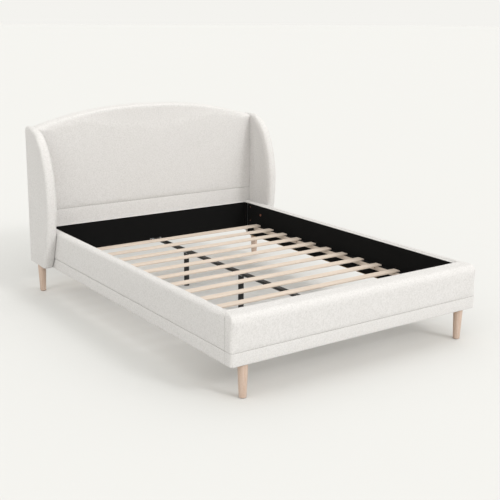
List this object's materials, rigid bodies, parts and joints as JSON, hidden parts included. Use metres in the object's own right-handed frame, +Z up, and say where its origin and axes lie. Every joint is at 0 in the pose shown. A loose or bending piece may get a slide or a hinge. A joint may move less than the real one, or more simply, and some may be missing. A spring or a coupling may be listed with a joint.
{
  "type": "upholstered headboard bed",
  "caption": "Upholstered wingback bed frame with arched headboard, padded rails, flat slats on ledges, a supported centre beam and tapered wood legs.",
  "frame": {"origin": "on the floor, under the middle of the bed", "axes": "+Z up, +Y from the foot end towards the headboard, +X to the right as seen from the foot end"},
  "size_m": [1.617, 2.144, 1.092],
  "materials": {
    "upholstery": "off-white fine basket-weave furnishing fabric over foam",
    "black_lining": "black non-woven lining, stapled flat",
    "frame_timber": "sawn softwood, unfinished",
    "plywood": "thin plywood, unfinished",
    "slat_wood": "pale planed poplar, matt",
    "leg_wood": "turned beech, clear satin lacquer",
    "black_steel": "black powder coat",
    "zinc_steel": "zinc plated",
    "bronzed_steel": "red-brown phosphated steel",
    "black_plastic": "moulded polypropylene"
  },
  "bodies": {
    "root": {"headboard_frame": "frame_timber", "headboard_panel": "plywood", "headboard_upper_pad": "upholstery", "headboard_lower_pad": "upholstery", "headboard_back_cover": "upholstery", "left_wing_frame": "frame_timber", "right_wing_frame": "frame_timber", "left_wing_cover": "upholstery", "right_wing_cover": "upholstery", "head_rail_board": "frame_timber", "head_rail_cover": "upholstery", "head_rail_lining": "black_lining", "left_head_post": "frame_timber", "right_head_post": "frame_timber", "left_rail_board": "frame_timber", "right_rail_board": "frame_timber", "left_rail_cover": "upholstery", "right_rail_cover": "upholstery", "left_rail_band": "upholstery", "right_rail_band": "upholstery", "left_rail_lining": "black_lining", "right_rail_lining": "black_lining", "footboard_frame": "frame_timber", "footboard_cover": "upholstery", "footboard_band": "upholstery", "footboard_lining": "black_lining", "left_slat_ledge": "slat_wood", "right_slat_ledge": "slat_wood", "slat_1": "slat_wood", "slat_2": "slat_wood", "slat_3": "slat_wood", "slat_4": "slat_wood", "slat_5": "slat_wood", "slat_6": "slat_wood", "slat_7": "slat_wood", "slat_8": "slat_wood", "slat_9": "slat_wood", "slat_10": "slat_wood", "slat_11": "slat_wood", "slat_12": "slat_wood", "centre_beam": "black_steel", "beam_brackets": "zinc_steel", "head_centre_leg": "black_steel", "middle_centre_leg": "black_steel", "foot_centre_leg": "black_steel", "centre_leg_brackets": "zinc_steel", "front_left_leg": "leg_wood", "front_right_leg": "leg_wood", "rear_left_leg": "leg_wood", "rear_right_leg": "leg_wood", "leg_hanger_bolts": "zinc_steel", "leg_glides": "black_plastic", "rail_hook_plates": "zinc_steel", "wing_bolts": "bronzed_steel", "rail_bolts": "bronzed_steel", "panel_screws": "bronzed_steel"},
    "head_foot": {"head_levelling_foot": "black_plastic"},
    "middle_foot": {"middle_levelling_foot": "black_plastic"},
    "foot_end_foot": {"foot_levelling_foot": "black_plastic"}
  },
  "joints": [
    {"name": "head_foot_adjust", "type": "slide", "parent": "root", "child": "head_foot", "axis": [0, 0, 1], "range_m": [-0.012, 0]},
    {"name": "middle_foot_adjust", "type": "slide", "parent": "root", "child": "middle_foot", "axis": [0, 0, 1], "range_m": [-0.012, 0]},
    {"name": "foot_end_foot_adjust", "type": "slide", "parent": "root", "child": "foot_end_foot", "axis": [0, 0, 1], "range_m": [-0.012, 0]}
  ]
}
